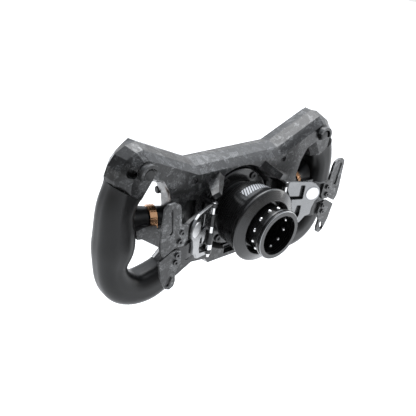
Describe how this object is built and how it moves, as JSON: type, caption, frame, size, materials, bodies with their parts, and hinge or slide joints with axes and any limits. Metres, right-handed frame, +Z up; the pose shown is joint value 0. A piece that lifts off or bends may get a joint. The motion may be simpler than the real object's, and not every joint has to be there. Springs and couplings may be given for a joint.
{
  "type": "racing wheel",
  "caption": "Sim-racing steering wheel: composite body, open-bottom rubber grips, sprung shift and clutch paddles on the back, and a ball-lock quick-release socket.",
  "frame": {"origin": "centre of the quick-release socket's mouth, on its axis", "axes": "+Y along the socket's axis, away from the driver; +Z up with the wheel centred; +X to the driver's right"},
  "size_m": [0.2912, 0.103, 0.1579],
  "materials": {
    "forged_carbon": "satin chopped-carbon composite",
    "grip_rubber": "smooth matt",
    "black_anodised": "black anodised, fine bead-blasted",
    "grey_anodised": "clear anodised, satin",
    "bronze_anodised": "copper coloured, satin",
    "polished_steel": "polished",
    "screw_steel": "turned",
    "magnet_nickel": "nickel plated",
    "black_plastic": "fine moulded texture",
    "button_caps": "satin moulded",
    "light_diffuser": "milky translucent",
    "circuit_board": "solder mask",
    "chassis_alloy": "machined"
  },
  "bodies": {
    "wheel_body": {"rear_shell": "forged_carbon", "front_shell": "forged_carbon", "front_plate": "forged_carbon", "light_bar": "light_diffuser", "chassis": "chassis_alloy", "control_board": "circuit_board", "switches_and_encoders": "black_plastic", "hub_body": "black_anodised", "hub_tube": "black_anodised", "locking_balls": "polished_steel", "contact_block": "black_plastic", "sleeve_spring": "polished_steel", "hub_bolts": "screw_steel", "shell_screws": "screw_steel", "usb_socket": "screw_steel", "grip_right": "grip_rubber", "grip_left": "grip_rubber", "spoke_right": "black_anodised", "spoke_left": "black_anodised", "stop_plate_right": "grey_anodised", "stop_plate_left": "grey_anodised", "hinge_block_right": "black_anodised", "hinge_block_left": "black_anodised", "hinge_pin_right": "polished_steel", "hinge_pin_left": "polished_steel", "fixed_magnet_right": "magnet_nickel", "fixed_magnet_left": "magnet_nickel"},
    "release_sleeve": {"release_sleeve": "black_anodised"},
    "shift_paddle_right": {"shift_lever_right": "grey_anodised", "shift_magnet_right": "magnet_nickel", "shift_paddle_right": "forged_carbon", "shift_screws_right": "screw_steel"},
    "clutch_paddle_right": {"clutch_lever_right": "grey_anodised", "clutch_paddle_right": "forged_carbon", "clutch_screws_right": "screw_steel"},
    "thumb_wheel_right": {"thumb_wheel_right": "bronze_anodised"},
    "rear_button_right": {"rear_button_right": "button_caps"},
    "side_button_right": {"side_button_right": "button_caps"},
    "push_button_right_1": {"push_button_right_1": "button_caps"},
    "push_button_right_2": {"push_button_right_2": "button_caps"},
    "push_button_right_3": {"push_button_right_3": "button_caps"},
    "push_button_right_4": {"push_button_right_4": "button_caps"},
    "shift_paddle_left": {"shift_lever_left": "grey_anodised", "shift_magnet_left": "magnet_nickel", "shift_paddle_left": "forged_carbon", "shift_screws_left": "screw_steel"},
    "clutch_paddle_left": {"clutch_lever_left": "grey_anodised", "clutch_paddle_left": "forged_carbon", "clutch_screws_left": "screw_steel"},
    "thumb_wheel_left": {"thumb_wheel_left": "bronze_anodised"},
    "rear_button_left": {"rear_button_left": "button_caps"},
    "side_button_left": {"side_button_left": "button_caps"},
    "push_button_left_1": {"push_button_left_1": "button_caps"},
    "push_button_left_2": {"push_button_left_2": "button_caps"},
    "push_button_left_3": {"push_button_left_3": "button_caps"},
    "push_button_left_4": {"push_button_left_4": "button_caps"},
    "rotary_knob_left": {"rotary_knob_left": "bronze_anodised"},
    "rotary_knob_middle": {"rotary_knob_middle": "bronze_anodised"},
    "rotary_knob_right": {"rotary_knob_right": "bronze_anodised"}
  },
  "joints": [
    {"name": "sleeve_release", "type": "slide", "parent": "wheel_body", "child": "release_sleeve", "axis": [0, 1, 0], "range_m": [-0.007, 0], "stiffness_N_per_m": 1200, "springref_m": 0.004, "deforming": ["sleeve_spring"]},
    {"name": "shift_right", "type": "hinge", "parent": "wheel_body", "child": "shift_paddle_right", "pos_m": [0.046, -0.0413, 0], "axis": [0, 0, 1], "range_deg": [-4.5, 0], "stiffness_Nm_per_rad": 2, "springref_deg": 2.86},
    {"name": "clutch_right", "type": "hinge", "parent": "wheel_body", "child": "clutch_paddle_right", "pos_m": [0.046, -0.0413, 0], "axis": [0, 0, 1], "range_deg": [-18, 0], "stiffness_Nm_per_rad": 1.2, "springref_deg": 4.58},
    {"name": "thumb_right", "type": "hinge", "parent": "wheel_body", "child": "thumb_wheel_right", "pos_m": [0.09, -0.074, 0.004], "axis": [0.9511, -0.309, 0], "continuous": true},
    {"name": "rear_press_right", "type": "slide", "parent": "wheel_body", "child": "rear_button_right", "axis": [0, 1, 0], "range_m": [-0.0015, 0], "stiffness_N_per_m": 900, "springref_m": 0.001},
    {"name": "side_press_right", "type": "slide", "parent": "wheel_body", "child": "side_button_right", "axis": [1, 0, 0], "range_m": [-0.0012, 0], "stiffness_N_per_m": 900, "springref_m": 0.001},
    {"name": "push_right_1", "type": "slide", "parent": "wheel_body", "child": "push_button_right_1", "axis": [0, 1, 0], "range_m": [0, 0.0015], "stiffness_N_per_m": 900, "springref_m": -0.001},
    {"name": "push_right_2", "type": "slide", "parent": "wheel_body", "child": "push_button_right_2", "axis": [0, 1, 0], "range_m": [0, 0.0015], "stiffness_N_per_m": 900, "springref_m": -0.001},
    {"name": "push_right_3", "type": "slide", "parent": "wheel_body", "child": "push_button_right_3", "axis": [0, 1, 0], "range_m": [0, 0.0015], "stiffness_N_per_m": 900, "springref_m": -0.001},
    {"name": "push_right_4", "type": "slide", "parent": "wheel_body", "child": "push_button_right_4", "axis": [0, 1, 0], "range_m": [0, 0.0015], "stiffness_N_per_m": 900, "springref_m": -0.001},
    {"name": "shift_left", "type": "hinge", "parent": "wheel_body", "child": "shift_paddle_left", "pos_m": [-0.046, -0.0413, 0], "axis": [0, 0, 1], "range_deg": [0, 4.5], "stiffness_Nm_per_rad": 2, "springref_deg": -2.86},
    {"name": "clutch_left", "type": "hinge", "parent": "wheel_body", "child": "clutch_paddle_left", "pos_m": [-0.046, -0.0413, 0], "axis": [0, 0, 1], "range_deg": [0, 18], "stiffness_Nm_per_rad": 1.2, "springref_deg": -4.58},
    {"name": "thumb_left", "type": "hinge", "parent": "wheel_body", "child": "thumb_wheel_left", "pos_m": [-0.09, -0.074, 0.004], "axis": [-0.9511, -0.309, 0], "continuous": true},
    {"name": "rear_press_left", "type": "slide", "parent": "wheel_body", "child": "rear_button_left", "axis": [0, 1, 0], "range_m": [-0.0015, 0], "stiffness_N_per_m": 900, "springref_m": 0.001},
    {"name": "side_press_left", "type": "slide", "parent": "wheel_body", "child": "side_button_left", "axis": [-1, 0, 0], "range_m": [-0.0012, 0], "stiffness_N_per_m": 900, "springref_m": 0.001},
    {"name": "push_left_1", "type": "slide", "parent": "wheel_body", "child": "push_button_left_1", "axis": [0, 1, 0], "range_m": [0, 0.0015], "stiffness_N_per_m": 900, "springref_m": -0.001},
    {"name": "push_left_2", "type": "slide", "parent": "wheel_body", "child": "push_button_left_2", "axis": [0, 1, 0], "range_m": [0, 0.0015], "stiffness_N_per_m": 900, "springref_m": -0.001},
    {"name": "push_left_3", "type": "slide", "parent": "wheel_body", "child": "push_button_left_3", "axis": [0, 1, 0], "range_m": [0, 0.0015], "stiffness_N_per_m": 900, "springref_m": -0.001},
    {"name": "push_left_4", "type": "slide", "parent": "wheel_body", "child": "push_button_left_4", "axis": [0, 1, 0], "range_m": [0, 0.0015], "stiffness_N_per_m": 900, "springref_m": -0.001},
    {"name": "knob_left", "type": "hinge", "parent": "wheel_body", "child": "rotary_knob_left", "pos_m": [-0.036, -0.09, -0.033], "axis": [0, 1, 0], "continuous": true},
    {"name": "knob_middle", "type": "hinge", "parent": "wheel_body", "child": "rotary_knob_middle", "pos_m": [0, -0.09, -0.033], "axis": [0, 1, 0], "continuous": true},
    {"name": "knob_right", "type": "hinge", "parent": "wheel_body", "child": "rotary_knob_right", "pos_m": [0.036, -0.09, -0.033], "axis": [0, 1, 0], "continuous": true}
  ]
}
